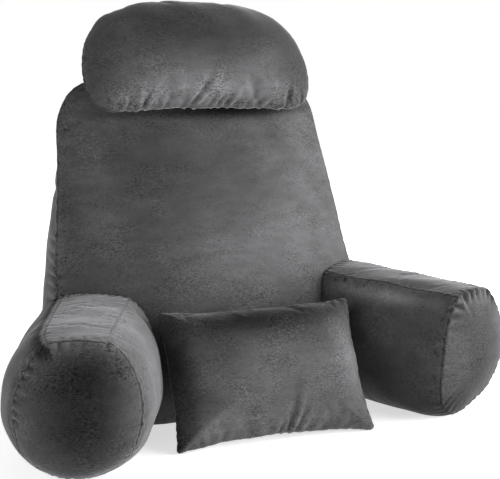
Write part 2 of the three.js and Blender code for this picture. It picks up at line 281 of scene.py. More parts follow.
class Cover:
    """A closed cover: a front panel, side cloth that runs from its rim to the back panel's rim
    (none where the panels are sewn edge to edge), and a back panel. Panels are grids of points
    seen from the front, row 0 on top; side cloth is rings of points clockwise."""

    def __init__(self, front, side, back):
        self.front, self.side, self.back = front, side, back
        down, across = front.shape[0] - 1, front.shape[1] - 1
        rim = rim_cells(across, down)
        self.front_ids = np.arange(front.shape[0] * front.shape[1]).reshape(front.shape[:2])
        used = self.front_ids.size
        points = [front.reshape(-1, 3)]
        if side is None:
            inner = np.ones(back.shape[:2], bool)
            inner[rim] = False
            self.back_ids = self.front_ids.copy()
            self.back_ids[inner] = used + np.arange(inner.sum())
            self.side_ids = self.front_ids[rim][None]
            points.append(back[inner])
            faces = []
        else:
            self.back_ids = used + np.arange(back.shape[0] * back.shape[1]).reshape(back.shape[:2])
            used += self.back_ids.size
            between = used + np.arange((len(side) - 2) * side.shape[1]).reshape(len(side) - 2, -1)
            self.side_ids = np.vstack([self.front_ids[rim][None], between, self.back_ids[rim][None]])
            points += [back.reshape(-1, 3), side[1:-1].reshape(-1, 3)]
            a, b = self.side_ids[:-1], self.side_ids[1:]
            faces = [quads(a, np.roll(a, -1, 1), np.roll(b, -1, 1), b)]
        f, k = self.front_ids, self.back_ids
        front_faces = quads(f[:-1, :-1], f[1:, :-1], f[1:, 1:], f[:-1, 1:])
        back_faces = quads(k[:-1, :-1], k[:-1, 1:], k[1:, 1:], k[1:, :-1])
        self.points = np.concatenate(points)
        self.faces = np.concatenate([front_faces, back_faces] + faces)

    def coarse(self):
        """The same cover with every second row and column left out."""
        panels = (self.front, self.side, self.back)
        return Cover(*(panel if panel is None else panel[::2, ::2] for panel in panels))

    def moved_with(self, coarse, shift):
        """This cover moved as its coarse copy is: the coarse shifts, read in between."""

        def moved(panel, ids, closed=False):
            return panel + doubled(doubled(shift[ids], 0, False), 1, closed)

        side = None if self.side is None else moved(self.side, coarse.side_ids, True)
        return Cover(moved(self.front, coarse.front_ids), side, moved(self.back, coarse.back_ids))

    def seam(self, ids, closed=True):
        """The seam along a row of the cover's points."""
        return Seam(self.points, self.points[ids], closed)

    def held(self, *parts):
        """1 at the points that are held, 0 at the rest."""
        weights = np.zeros(len(self.points))
        for part in parts:
            weights[part] = 1
        return weights

    def normals(self):
        """Unit normals at the points: the sum of the crossed diagonals of the faces round each."""
        corner = self.points[self.faces]
        cross = np.cross(corner[:, 2] - corner[:, 0], corner[:, 3] - corner[:, 1])
        total = np.zeros_like(self.points)
        for k in range(4):
            np.add.at(total, self.faces[:, k], cross)
        return total / np.maximum(np.linalg.norm(total, axis=1, keepdims=True), 1e-12)


def new_object(name, points, faces):
    mesh = bpy.data.meshes.new(name)
    mesh.vertices.add(len(points))
    mesh.vertices.foreach_set("co", points.astype(np.float32).ravel())
    mesh.loops.add(faces.size)
    mesh.loops.foreach_set("vertex_index", faces.astype(np.int32).ravel())
    mesh.polygons.add(len(faces))
    mesh.polygons.foreach_set("loop_start", np.arange(0, faces.size, 4, dtype=np.int32))
    mesh.polygons.foreach_set("use_smooth", np.ones(len(faces), bool))
    mesh.update(calc_edges=True)
    obj = bpy.data.objects.new(name, mesh)
    bpy.context.scene.collection.objects.link(obj)
    return obj


def places_of(obj):
    """An object's points with its modifiers worked out."""
    depsgraph = bpy.context.evaluated_depsgraph_get()
    mesh = obj.evaluated_get(depsgraph).data
    points = np.empty(3 * len(mesh.vertices), np.float32)
    mesh.vertices.foreach_get("co", points)
    return points.reshape(-1, 3).astype(float)


CLOTH = {
    "quality": 6, "mass": 0.25, "tension_stiffness": 18, "compression_stiffness": 18,
    "shear_stiffness": 6, "bending_stiffness": 0.35, "air_damping": 1, "use_pressure": True,
    "uniform_pressure_force": 4, "shrink_max": 0, "vertex_group_shrink": "even",
    "vertex_group_mass": "held",
}


def filled(cover, held, growth, most, slack=None, frames=22):
    """The cover after its filling has pressed against it: a cloth simulation with pressure, no
    gravity, the seams held, and the cloth a little larger than its seams allow, so that it
    gathers beside them. Slack says where the cloth is larger. No point moves further than most."""
    coarse = cover.coarse()
    obj = new_object("filling", coarse.points, coarse.faces)
    keep_weights(obj, "held", held(coarse))
    keep_weights(obj, "even", 1 - slack(coarse) if slack else np.zeros(len(coarse.points)))
    cloth = obj.modifiers.new("cloth", "CLOTH")
    for setting, value in CLOTH.items():
        setattr(cloth.settings, setting, value)
    cloth.settings.shrink_min = -growth
    cloth.settings.effector_weights.gravity = 0
    cloth.point_cache.frame_start = 1
    cloth.point_cache.frame_end = frames
    for frame_number in range(1, frames + 1):
        bpy.context.scene.frame_set(frame_number)
    shift = places_of(obj) - coarse.points
    bpy.context.scene.frame_set(1)
    bpy.data.objects.remove(obj)
    length = np.linalg.norm(shift, axis=1, keepdims=True)
    shift = shift * most * np.tanh(length / most) / np.maximum(length, 1e-9)
    return cover.moved_with(coarse, shift)


def keep_weights(obj, name, weights):
    """A vertex group whose weights are rounded to tenths."""
    group = obj.vertex_groups.new(name=name)
    tenths = np.round(np.clip(weights, 0, 1) * 10).astype(int)
    for level in range(1, 11):
        group.add(np.nonzero(tenths == level)[0].tolist(), level / 10, "REPLACE")


class Seam:
    """A sewn line on a cover: for each point of the cover, its distance from the line and how
    far along the line its nearest place is. A point out of reach counts as a metre off."""

    def __init__(self, points, line, closed, reach=0.06, step=0.0012):
        ends = np.vstack([line, line[:1]]) if closed else line
        steps = np.linalg.norm(np.diff(ends, axis=0), axis=1)
        length = np.concatenate([[0], np.cumsum(steps)])
        self.closed, self.total = closed, length[-1]
        self.at = np.linspace(0, self.total, max(int(self.total / step), 2))
        self.line = np.stack([np.interp(self.at, length, ends[:, k]) for k in range(3)], 1)
        self.distance = np.full(len(points), 1.0)
        self.along = np.zeros(len(points))
        inside = (points > line.min(0) - reach) & (points < line.max(0) + reach)
        near = np.nonzero(inside.all(1))[0]
        for chunk in np.array_split(near, max(len(near) // 3000, 1)):
            square = (points[chunk] ** 2).sum(1)[:, None] + (self.line ** 2).sum(1)[None]
            best = (square - 2 * points[chunk] @ self.line.T).argmin(1)
            self.distance[chunk] = np.linalg.norm(points[chunk] - self.line[best], axis=1)
            self.along[chunk] = self.at[best]

    def nearest_x(self):
        """For each point of the cover, x of the nearest place on the seam."""
        return np.interp(self.along, self.at, self.line[:, 0]) - MIDDLE[0]

    def channel(self, depth, width=0.0015):
        """A narrow channel with a low roll of cloth on either side."""
        roll = np.exp(-((self.distance - 3.0 * width) / (2.2 * width)) ** 2)
        return depth * (0.25 * roll - np.exp(-(self.distance / width) ** 2))

    def pucker(self, place, length, slant, depth, width, off_seam=0.0025):
        """A dent that leaves the seam at a place along it: a bell across that widens on its way,
        deepest a little off the seam, with a low roll of cloth on either side."""
        offset = self.along - place
        if self.closed:
            offset -= self.total * np.round(offset / self.total)
        near = np.nonzero((self.distance < 2.4 * length) & (np.abs(offset) < 6 * width + 3 * length))[0]
        d = self.distance[near]
        off = np.abs(offset[near] - slant * d)
        spread = width * (1 + 0.7 * d / length)
        fall = np.exp(-(d / length) ** 2) * (1 - np.exp(-(d / off_seam) ** 2))
        ridge = np.exp(-((off - 2 * spread) / spread) ** 2)
        relief = np.zeros(len(self.distance))
        relief[near] = depth * fall * (0.5 * ridge - np.exp(-(off / spread) ** 2))
        return relief

    def gathers(self, seed, pitch, depth, length, strength=None, lean=0.35):
        """Puckers at uneven places along the seam, each of its own length, slant and depth.
        Strength is a function of a place on the seam."""
        rng = np.random.default_rng(seed)
        count = max(int(self.total / pitch), 1)
        relief = np.zeros(len(self.distance))
        for place in (np.arange(count) + rng.uniform(-0.4, 0.4, count)) * self.total / count:
            reach, width = length * rng.uniform(0.45, 1.6), pitch * rng.uniform(0.13, 0.26)
            slant, amount = rng.normal() * lean, depth * rng.uniform(0.15, 1.0)
            if strength is not None:
                spot = min(np.searchsorted(self.at, place % self.total), len(self.at) - 1)
                amount *= strength(self.line[spot] - MIDDLE)
            if amount > 5e-5:
                relief += self.pucker(place, reach, slant, amount, width)
        return relief

    def folds(self, rows, off_seam=0.0025):
        """Puckers put in one by one, each at the place on the seam that is nearest in front view:
        x and height there, then length, slant, depth and width."""
        relief = np.zeros(len(self.distance))
        for x, z, length, slant, depth, width in rows:
            away = np.hypot(self.line[:, 0] - MIDDLE[0] - x, self.line[:, 2] - z)
            relief += self.pucker(self.at[away.argmin()], length, slant, depth, width, off_seam)
        return relief


def soft_spots(points, places):
    """Soft spots added up, each a bell round its middle: for painted light and shade, and for grain."""
    total = np.zeros(len(points))
    for middle, reach, doublings in places:
        off = (points - np.array(middle)) / np.array(reach)
        total += doublings * np.exp(-(off ** 2).sum(1))
    return total


def waves(points, length, seed, count=14):
    """Soft lumps of about one length: the sum of sines that run in chance directions."""
    rng = np.random.default_rng(seed)
    way = rng.normal(size=(count, 3))
    way *= 2 * np.pi / length * rng.uniform(0.6, 1.5, (count, 1)) / np.linalg.norm(way, axis=1)[:, None]
    phase = rng.uniform(0, 2 * np.pi, count)
    return np.sin(points @ way.T + phase).sum(1) / np.sqrt(count / 2)


# ---------------------------------------------------------------- backrest

def back_half(z):
    return BACK_HALF_AT_ARMS + BACK_TAPER * (ARM_HEIGHT - z)


def back_depth(x, z, column, seam_y):
    """Depth of the face or the back: the middle's where x is 0, the seam's at the side seams,
    mixed by the share of the half width to the power FACE_ROUNDNESS."""
    share = np.minimum(np.abs(x) / back_half(z), 1)
    return mix(smooth_table(BACK_PROFILE, column, z), seam_y, share ** FACE_ROUNDNESS)


def face_depth(x, z):
    return back_depth(x, z, 1, BACK_LEAN * (z - ARM_HEIGHT))


def back_outline():
    """The front seam in x and height, clockwise from the foot's middle: straight sides that
    taper, rounded corners."""
    t = np.linspace(0, 1, 200)[:, None]
    foot = [(-back_half(0) + BACK_FOOT_CORNER, 0), (-back_half(0), 0),
            (-back_half(BACK_FOOT_CORNER), BACK_FOOT_CORNER)]
    low, high = BACK_TOP - BACK_CORNER, BACK_TOP
    top_x = back_half(BACK_TOP) - BACK_CORNER * (1 - BACK_TAPER)
    shoulder_z = BACK_TOP - BACK_CORNER * (1 - BACK_SQUARENESS)
    shoulder = [(-back_half(low), low), (-back_half(shoulder_z), shoulder_z),
                (-top_x - BACK_CORNER * BACK_SQUARENESS, high), (-top_x, high)]
    left = np.vstack([[(0, 0)], bezier(foot, t), bezier(shoulder, t)])
    right = left[::-1][:-1] * (-1, 1)
    curve = equal_steps(np.vstack([left, right]), 4000)
    corner = bezier(shoulder, 0.5)
    foot_corner = bezier(foot, 0.5)
    corners = [corner, corner * (-1, 1), foot_corner * (-1, 1), foot_corner]
    return curve, corners


def backrest_cover(across=156, down=156, rings=60, pull=0.55):
    """Front panel: the outline's span at the face's depth. Back panel: the same drawn in at the
    sides and lowered. Side cloth: from seam to seam, bulging outwards by a sine."""
    curve, corners = back_outline()
    rim = rim_of(curve, corners, across, down, pull)
    flat = spanned(rim, across, down, pull)
    x, z = flat[..., 0], np.maximum(flat[..., 1], 0)
    front = np.stack([x, face_depth(x, z), z], -1)
    seam_y = smooth_table(BACK_PROFILE, 2, z)
    back_y = back_depth(x, z, 3, seam_y)
    back = np.stack([x * (1 - smooth_table(BACK_PROFILE, 4, z)), back_y, z * (1 - BACK_PANEL_DROP)], -1)
    cells = rim_cells(across, down)
    first, last = front[cells], back[cells]
    step = np.roll(rim, -1, 0) - np.roll(rim, 1, 0)
    outward = np.stack([-step[:, 1], step[:, 0]], 1) / np.linalg.norm(step, axis=1)[:, None]
    outward *= np.clip(rim[:, 1:] / 0.004, 0, 1)
    s = crowded(rings, 0.5)[:, None, None]
    side = mix(first[None], last[None], s)
    bulge = mix(BACK_BULGE, BACK_BULGE_AT_TOP, eased(rim[None, :, 1], 0.26, 0.42))
    bulge = bulge * np.sin(np.pi * s[..., 0] ** 0.8) ** 0.8
    side[..., 0] += outward[:, 0] * bulge
    side[..., 2] = np.maximum(side[..., 2] + outward[:, 1] * bulge, 0)
    return Cover(front + MIDDLE, side + MIDDLE, back + MIDDLE)


def in_backrest(points):
    """Above 0 outside the backrest, below 0 inside: the larger of the distance in front of its
    face and the distance beside its side cloth, as it is at the arms."""
    x, y, z = (points - MIDDLE)[..., 0], (points - MIDDLE)[..., 1], (points - MIDDLE)[..., 2]
    seam_y = BACK_LEAN * (z - ARM_HEIGHT)
    share = np.clip((y - seam_y) / (smooth_table(BACK_PROFILE, 2, z) - seam_y), 0, 1)
    side = back_half(z) * (1 - share * smooth_table(BACK_PROFILE, 4, z))
    side = side + BACK_BULGE * np.sin(np.pi * share ** 0.8) ** 0.8
    return np.maximum(face_depth(x, z) - y, np.abs(x) - side)


# ---------------------------------------------------------------- arms

def arm_section(shape, back, place):
    """An arm's section at a distance behind its cap's seam, in rightwards and height. Place runs
    clockwise: 0 to 1 the strip, 1 to 2 the right shoulder, 2 to 3 down to the floor, 3 to 4 up
    the left side, 4 to 5 the left shoulder."""
    width, shoulder, lift = (smooth_table(ARM_PROFILE, k, back) for k in (1, 2, 3))
    height = shape["height"]
    half = ARM_HALF * width * shape["fullness"]
    half = half * mix(shape["cap_width"], 1, np.clip(back / 0.05, 0, 1))
    low = lift - ARM_SINK
    middle = mix(low, height, 0.5)
    strip = STRIP_HALF + STRIP_WIDENS * back
    turn = mix(strip, half, shoulder)
    right_foot, left_foot = shape["inner_foot"], shape["outer_foot"]
    if shape["side"] > 0:
        right_foot, left_foot = left_foot, right_foot
    zero = np.zeros_like(half)

    def points(*pairs):
        return [np.stack(np.broadcast_arrays(a + zero, b + zero), -1) for a, b in pairs]

    curves = [
        points((-strip, height), (0, height + 2 * STRIP_CROWN), (strip, height)),
        points((strip, height), (turn, height - SHOULDER_DROP), (half, middle + SIDE_RISE),
               (half, middle)),
        points((half, middle), (half, mix(low, middle, 0.4)), (half * right_foot, low), (0, low)),
        points((0, low), (-half * left_foot, low), (-half, mix(low, middle, 0.4)), (-half, middle)),
        points((-half, middle), (-half, middle + SIDE_RISE), (-turn, height - SHOULDER_DROP),
               (-strip, height)),
    ]
    place = np.mod(place, 5)
    out = np.zeros(np.broadcast(place, half).shape + (2,))
    for number, curve in enumerate(curves):
        here = np.broadcast_to(np.floor(place) == number, out.shape[:-1])
        t = np.broadcast_to(place - number, out.shape[:-1])[..., None]
        out = np.where(here[..., None], bezier(curve, t), out)
    return out


def arm_points(shape, back, place, share, bulge=0.0):
    """Points of an arm: the section at a distance back, drawn in towards its middle by a share,
    sheared where it meets the backrest. The cap's front stands forward by a sine of the height,
    and its top by the height squared."""
    side, turn, height = shape["side"], radians(shape["splay"]), shape["height"]
    section = arm_section(shape, back, place)
    middle = mix(smooth_table(ARM_PROFILE, 3, back), height, 0.5)
    z = np.maximum(mix(middle, section[..., 1], share), 0)
    drawn = shape["drawn_in"] * np.clip(1 - back / 0.08, 0, 1) ** 2 * np.clip(z / height, 0, 1) ** 0.6
    across = section[..., 0] * share - side * drawn
    ahead = CAP_FORWARD * np.sin(np.pi * (1 - np.clip(z / height, 0, 1)))
    ahead = ahead + shape["cap_top_forward"] * np.clip(z / height, 0, 1) ** 2
    ahead = ahead * np.clip(1 - back / 0.12, 0, 1)
    shear = ARM_SHEAR * smooth_table(ARM_PROFILE, 4, back)
    ahead = ahead + bulge - back - shear * across * side
    x = side * shape["cap_x"] + np.cos(turn) * across + side * np.sin(turn) * ahead
    y = ARM_CAP_Y + side * np.sin(turn) * across - np.cos(turn) * ahead
    return np.stack(np.broadcast_arrays(x, y, z), -1) + MIDDLE


def arm_cover(shape, across=ARM_ACROSS, down=76, length=112, pull=0.5):
    """Cap: the first section's span, crowned. Tube: from the cap's seam back to where each line
    first meets the backrest. End: lines through the arm's inside, to where they meet it too."""
    low_corner = 2.62

    def places(start, stop, count):
        """Places along the section from one to another, by length, crowded at both."""
        dense = np.linspace(start, stop, 400)
        section = arm_section(shape, np.full_like(dense, 0.06), dense)
        steps = np.linalg.norm(np.diff(section, axis=0), axis=1)
        length = np.concatenate([[0], np.cumsum(steps)])
        return np.interp(crowded(count, pull)[:-1] * length[-1], length, dense)

    corners = [0, 1, low_corner, 6 - low_corner, 5]
    counts = [across, down, across, down]
    place = np.concatenate([places(corners[k], corners[k + 1], counts[k]) for k in range(4)])
    # the cap's grid in its own plane
    flat = spanned(arm_section(shape, np.zeros_like(place), place), across, down, pull)
    dense_place = np.linspace(0, 5, 4000, endpoint=False)
    dense = arm_section(shape, np.zeros_like(dense_place), dense_place)
    middle = np.array([0, mix(0.020, shape["height"], 0.5)])
    angles, reaches, order = polar(dense, middle, 1.0)
    angle, distance = seen_from(flat, middle, 1.0)
    share = np.clip(distance / np.interp(angle, angles, reaches, period=2 * np.pi), 0, 1)
    unwrapped = np.unwrap(order * 5, period=5)
    spot = np.mod(np.interp(angle, angles, unwrapped, period=2 * np.pi), 5)
    cells = rim_cells(across, down)
    share[cells] = 1
    spot[cells] = place
    bulge = shape["cap_bulge"] * np.maximum(1 - share ** 2.4, 0) ** 0.8
    front = arm_points(shape, np.zeros_like(share), spot, share, bulge)

    def meets(places, shares):
        """Distance back at which the line of a place and share first enters the backrest."""
        steps = np.linspace(0.02, ARM_PROFILE[-1, 0], 260)
        back = steps.reshape((-1,) + (1,) * places.ndim) + 0 * places
        outside = in_backrest(arm_points(shape, back, places + 0 * back, shares + 0 * back))
        outside = outside - SEAM_AIR
        inside = outside < 0
        found = np.maximum(np.where(inside.any(0), inside.argmax(0), len(steps) - 1), 1)[None]
        after = np.take_along_axis(outside, found, 0)[0]
        before = np.take_along_axis(outside, found - 1, 0)[0]
        part = np.clip(before / np.maximum(before - after, 1e-9), 0, 1)
        return steps[0] + (found[0] - 1 + part) * (steps[1] - steps[0])

    end_back = meets(spot, share)
    end_back[cells] = meets(place, np.ones_like(place))
    back_panel = arm_points(shape, end_back, spot, share)
    rows = crowded(length, 0.5)[:, None]
    tube_back = rows * end_back[cells][None]
    side = arm_points(shape, tube_back, place[None] + 0 * tube_back, np.ones_like(tube_back))
    return Cover(front, side, back_panel)


# ---------------------------------------------------------------- edge-sewn cushions

def leaned(points, foot, lean, yaw=0.0, roll=0.0):
    """Points rolled clockwise in their own plane, tipped back about the x axis, turned about
    upright, and put at their foot."""
    a, b, c = radians(lean), radians(yaw), radians(roll)
    x, y, z = points[..., 0], points[..., 1], points[..., 2]
    x, z = x * np.cos(c) + z * np.sin(c), z * np.cos(c) - x * np.sin(c)
    y, z = y * np.cos(a) + z * np.sin(a), z * np.cos(a) - y * np.sin(a)
    x, y = x * np.cos(b) - y * np.sin(b), x * np.sin(b) + y * np.cos(b)
    return np.stack([x, y, z], -1) + foot + MIDDLE


def sewn_edge_to_edge(curve, corners, across, down, crowns, place, pull=0.8):
    """Two panels sewn edge to edge: the outline's span, raised to both sides by the crown times
    (1 - share ** 2.2) ** 0.6, and put in place by leaned."""
    low, high = curve.min(0), curve.max(0)
    middle, half = (low + high) / 2, (high - low) / 2
    flat = spanned(rim_of(curve, corners, across, down, pull), across, down, pull)
    share = share_of(flat, curve, middle, half, 3)
    share[rim_cells(across, down)] = 1
    full = np.maximum(1 - share ** 2.2, 0) ** 0.6
    front, back = (leaned(np.stack([flat[..., 0], crown * full, flat[..., 1]], -1), *place)
                   for crown in crowns)
    return Cover(front, None, back)


def neck_cover(across=172, down=84):
    """The D-shaped neck cushion: its outline mirrored, spanned, crowned and leaned back."""
    right = NECK_OUTLINE
    left = right[1:-1][::-1] * (-1, 1)
    curve = round_curve(np.vstack([right, left]))[::-1]
    corners = [(-0.178, 0.160), (0.178, 0.160), (0.198, 0.022), (-0.198, 0.022)]
    place = (NECK_FOOT, NECK_LEAN, 0, NECK_ROLL)
    return sewn_edge_to_edge(curve, corners, across, down, NECK_CROWNS, place)


def lumbar_cover(across=136, down=96):
    """The rectangular lumbar cushion: sides that pull in between its corners, spanned, crowned,
    turned and leaned back."""
    half, height, corner = LUMBAR_WIDTH / 2, LUMBAR_HEIGHT, LUMBAR_CORNER
    spots = np.array([(-half, height), (half, height), (half, 0.0), (-half, 0.0)])
    middle = np.array([0, height / 2])
    t = np.linspace(0, 1, 120)[:, None]
    line = []
    for k in range(4):
        here, after, before = spots[k], spots[(k + 1) % 4], spots[k - 1]
        towards = [here + (other - here) * corner / np.linalg.norm(other - here)
                   for other in (before, after)]
        line.append(bezier([towards[0], here, towards[1]], t[:-1]))
        between = (here + after) / 2
        between += (middle - between) * 2 * LUMBAR_DRAW[k] / np.linalg.norm(middle - between)
        stop = after + (here - after) * corner / np.linalg.norm(here - after)
        line.append(bezier([towards[1], between, stop], t[:-1]))
    curve = equal_steps(np.vstack(line), 2400)
    place = (LUMBAR_FOOT, LUMBAR_LEAN, LUMBAR_YAW)
    return sewn_edge_to_edge(curve, spots, across, down, LUMBAR_CROWNS, place)


# ---------------------------------------------------------------- plush

class Value:
    """A number socket that works in expressions: each operator adds a Math node."""

    def __init__(self, plush, socket):
        self.plush, self.socket = plush, socket

    def _with(self, operation, *others):
        values = [other.socket if isinstance(other, Value) else other for other in others]
        return self.plush.node("ShaderNodeMath", {"operation": operation}, dict(enumerate(values)))

    def __add__(self, other):
        return self._with("ADD", self, other)

    def __sub__(self, other):
        return self._with("SUBTRACT", self, other)

    def __mul__(self, other):
        return self._with("MULTIPLY", self, other)

    def __rsub__(self, other):
        return self._with("SUBTRACT", other, self)

    def limited(self, low, high):
        return self._with("MINIMUM", self._with("MAXIMUM", self, low), high)

    __radd__ = __add__
    __rmul__ = __mul__


class Finish:
    """A material under construction."""

    def __init__(self, name):
        self.material = bpy.data.materials.new(name)
        self.material.use_nodes = True
        self.tree = self.material.node_tree
        self.shader = self.tree.nodes["Principled BSDF"]

    def node(self, kind, settings, sockets, output=0):
        """A node of a kind: its settings first, then each socket's value or link."""
        node = self.tree.nodes.new(kind)
        for key, value in settings.items():
            setattr(node, key, value)
        for key, value in sockets.items():
            value = value.socket if isinstance(value, Value) else value
            if isinstance(value, bpy.types.NodeSocket):
                self.tree.links.new(value, node.inputs[key])
            else:
                node.inputs[key].default_value = value
        return Value(self, node.outputs[output])

    def set(self, values, shader=None):
        for socket, value in values.items():
            (shader or self.shader).inputs[socket].default_value = value

    def link(self, value, socket, shader=None):
        self.tree.links.new(value.socket, (shader or self.shader).inputs[socket])


def plush(name, tone):
    """Short plush whose nap is laid by brushing: fine grain that shows more in some patches, nap in
    faint streaks, and crushed flecks, darker in the seams, with a sheen that is taken away where
    shade is painted. Values kept on each cover say how much painted light and shade it carries,
    how much of its grain shows, how near a seam is and how worn its nap is."""
    finish = Finish(name)
    place = finish.node("ShaderNodeTexCoord", {}, {}, "Object")

    def noise(scale, detail, roughness, stretch=(1, 1, 1)):
        mapped = finish.node("ShaderNodeMapping", {}, {"Vector": place, "Scale": stretch})
        return finish.node("ShaderNodeTexNoise", {}, {
            "Vector": mapped, "Scale": scale, "Detail": detail, "Roughness": roughness}) - 0.5

    def kept(label):
        return finish.node("ShaderNodeAttribute", {"attribute_name": label}, {}, "Fac")

    strokes = noise(21, 2, 0.5, (0.4, 0.6, 1))
    streaks = noise(55, 3, 0.6, (0.35, 0.6, 1))
    clumps = noise(250, 2, 0.6, (0.4, 0.6, 1))
    tips = noise(460, 2, 0.75, (0.45, 0.6, 1))
    fibres = noise(900, 1, 0.6)
    ruffled = (6 * noise(17, 2, 0.6) + 0.5).limited(0, 1)
    grain = kept("grain") * (0.35 + 0.9 * ruffled)
    crushed = (8 * (noise(105, 4, 0.7) - 0.05)).limited(0, 1) * kept("worn")
    level = 0.5 + 0.2 * noise(9, 2, 0.5) + 0.20 * strokes + 0.36 * streaks - 0.34 * crushed
    level = level + grain * (0.2 * clumps + 1.8 * tips + 0.6 * fibres)
    level = (level - 0.3 * kept("seam")).limited(0, 1.5)
    dark = tuple(0.06 * part for part in tone) + (1,)
    light = tuple(1.94 * part for part in tone) + (1,)
    colour = finish.node("ShaderNodeMix", {"data_type": "RGBA", "clamp_factor": False},
                         {0: level, 6: dark, 7: light}, 2)
    # the colour times the painted light and shade kept on the cover
    colour = finish.node("ShaderNodeVectorMath", {"operation": "SCALE"},
                         {"Vector": colour, "Scale": kept("painted_light")})
    height = 0.3 * streaks - 0.35 * crushed + grain * (0.3 * clumps + 0.7 * tips)
    bump = finish.node("ShaderNodeBump", {}, {"Strength": 0.7, "Distance": 0.0018, "Height": height})
    closed = finish.tree.nodes.new("ShaderNodeBsdfPrincipled")
    for shader, sheen in ((finish.shader, SHEEN), (closed, 0.0)):
        finish.link(colour, "Base Color", shader)
        finish.link(bump, "Normal", shader)
        finish.set({"Roughness": 0.95, "Specular IOR Level": 0.12, "Sheen Weight": sheen,
                    "Sheen Roughness": 0.3, "Sheen Tint": (0.90, 0.90, 0.92, 1)}, shader)
    # where shade is painted, the sheen is taken away as well
    shaded = (1 - kept("painted_light")).limited(0, 1)
    mixed = finish.node("ShaderNodeMixShader", {}, {
        0: shaded, 1: Value(finish, finish.shader.outputs[0]), 2: Value(finish, closed.outputs[0])})
    finish.link(mixed, "Surface", finish.tree.nodes["Material Output"])
    return finish.material


# ---------------------------------------------------------------- covers in place

def finished(name, cover, relief, seams, painted_light, grain, neighbours=()):
    """A cover made into its piece: moved along its normals by the relief, kept above the floor
    and clear of its neighbours, with what its plush reads kept on its points. Shade is painted
    darker in dents and light is painted on rolls, and where shade is painted more grain shows."""
    # painted shade in the dents and painted light on the rolls beside them
    painted_light = painted_light + np.clip(DENT_SHADE * relief, -1.6, 0.7)
    grain = grain * (1 + 0.5 * np.clip(-painted_light, 0, 2))
    relief = relief + LUMP_DEPTH * waves(cover.points, LUMP_LENGTH, len(name))
    seam = np.max([strength * near(line, 0.0020) for line, strength in seams], axis=0)
    worn = 0.2 + 0.8 * np.max([near(line, 0.024) for line, _ in seams], axis=0)
    points = cover.points + cover.normals() * relief[:, None]
    points[:, 2] = np.maximum(points[:, 2], FLOOR_AIR)
    piece = new_object(name + "_cover", points, cover.faces)
    for neighbour in neighbours:
        wrap = piece.modifiers.new("clear", "SHRINKWRAP")
        wrap.target = neighbour
        wrap.wrap_method = "NEAREST_SURFACEPOINT"
        wrap.wrap_mode = "OUTSIDE"
        wrap.offset = SEAM_AIR
    if neighbours:
        points = places_of(piece)
        piece.modifiers.clear()
        piece.data.vertices.foreach_set("co", points.astype(np.float32).ravel())
        piece.data.update()
    values_kept = {"seam": seam, "painted_light": 2.0 ** painted_light, "worn": worn, "grain": grain}
    for label, values in values_kept.items():
        kept = piece.data.attributes.new(label, "FLOAT", "POINT")
        kept.data.foreach_set("value", values.astype(np.float32))
    piece.data.materials.append(PLUSH)
    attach(piece, "root")
    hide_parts(name)
    return piece


def near(seam, width):
    return np.exp(-(seam.distance / width) ** 2)


SHEEN = 0.40
DENT_SHADE = 170  # doublings a metre
LUMP_DEPTH = 0.0007
LUMP_LENGTH = 0.085
SHOULDER_SHADE = 3.6  # doublings, on the outer shoulder of each arm just below its strip
SHOULDER_SHADE_WIDTH = 0.021
CUSHION_FOLDS_OFF_SEAM = 0.012  # so that the cushions' outlines stay even
PLUSH = plush("charcoal_plush", (0.0567, 0.0562, 0.0579))

# Folds at a seam: x and height of the place, then length, slant, depth and width
BACKREST_SIDE_FOLDS = [
    (-0.28, 0.285, 0.036, 0.40, 0.0048, 0.0036),
    (-0.28, 0.264, 0.034, 0.45, 0.0052, 0.0036),
    (-0.28, 0.246, 0.036, 0.35, 0.0056, 0.0036),
    (-0.28, 0.230, 0.038, 0.30, 0.0056, 0.0036),
    (-0.28, 0.212, 0.044, 0.25, 0.0054, 0.0038),
    (-0.28, 0.192, 0.044, 0.15, 0.0048, 0.0038),
]
CRINKLE_MIDDLE = (-0.170, 0.060, 0.482)
CRINKLE_REACH = (0.036, 0.060, 0.022)
CRINKLE_DEPTH = 0.0010
CRINKLE_LENGTH = 0.010
BACKREST_FACE_FOLDS = [
    (-0.28, 0.232, 0.020, 0.10, 0.0020, 0.0040),
    (-0.28, 0.214, 0.020, 0.00, 0.0020, 0.0040),
]
ARM_FOLDS = {
    "arm_left": [
        (0.284, 0.160, 0.018, 0.35, 0.0026, 0.0034),
        (0.288, 0.178, 0.026, 0.45, 0.0040, 0.0040),
        (0.296, 0.192, 0.028, 0.35, 0.0048, 0.0042),
        (0.309, 0.203, 0.026, 0.15, 0.0050, 0.0040),
        (0.326, 0.210, 0.024, -0.20, 0.0046, 0.0038),
        (0.342, 0.213, 0.018, -0.35, 0.0030, 0.0036),
        (0.372, 0.209, 0.014, 0.00, 0.0034, 0.0034),
        (0.280, 0.040, 0.020, 0.30, 0.0028, 0.0028),
        (0.284, 0.028, 0.024, 0.30, 0.0028, 0.0028),
    ],
    "arm_right": [
        (-0.385, 0.204, 0.014, 0.30, 0.0024, 0.0040),
        (-0.415, 0.188, 0.020, 0.30, 0.0044, 0.0036),
        (-0.430, 0.172, 0.024, 0.30, 0.0060, 0.0036),
        (-0.430, 0.157, 0.026, 0.30, 0.0064, 0.0036),
        (-0.430, 0.143, 0.024, 0.20, 0.0064, 0.0034),
        (-0.430, 0.130, 0.022, 0.20, 0.0058, 0.0034),
        (-0.430, 0.116, 0.018, 0.10, 0.0052, 0.0032),
        (-0.430, 0.100, 0.014, 0.10, 0.0044, 0.0030),
        (-0.350, 0.206, 0.012, 0.00, 0.0028, 0.0034),
    ],
}
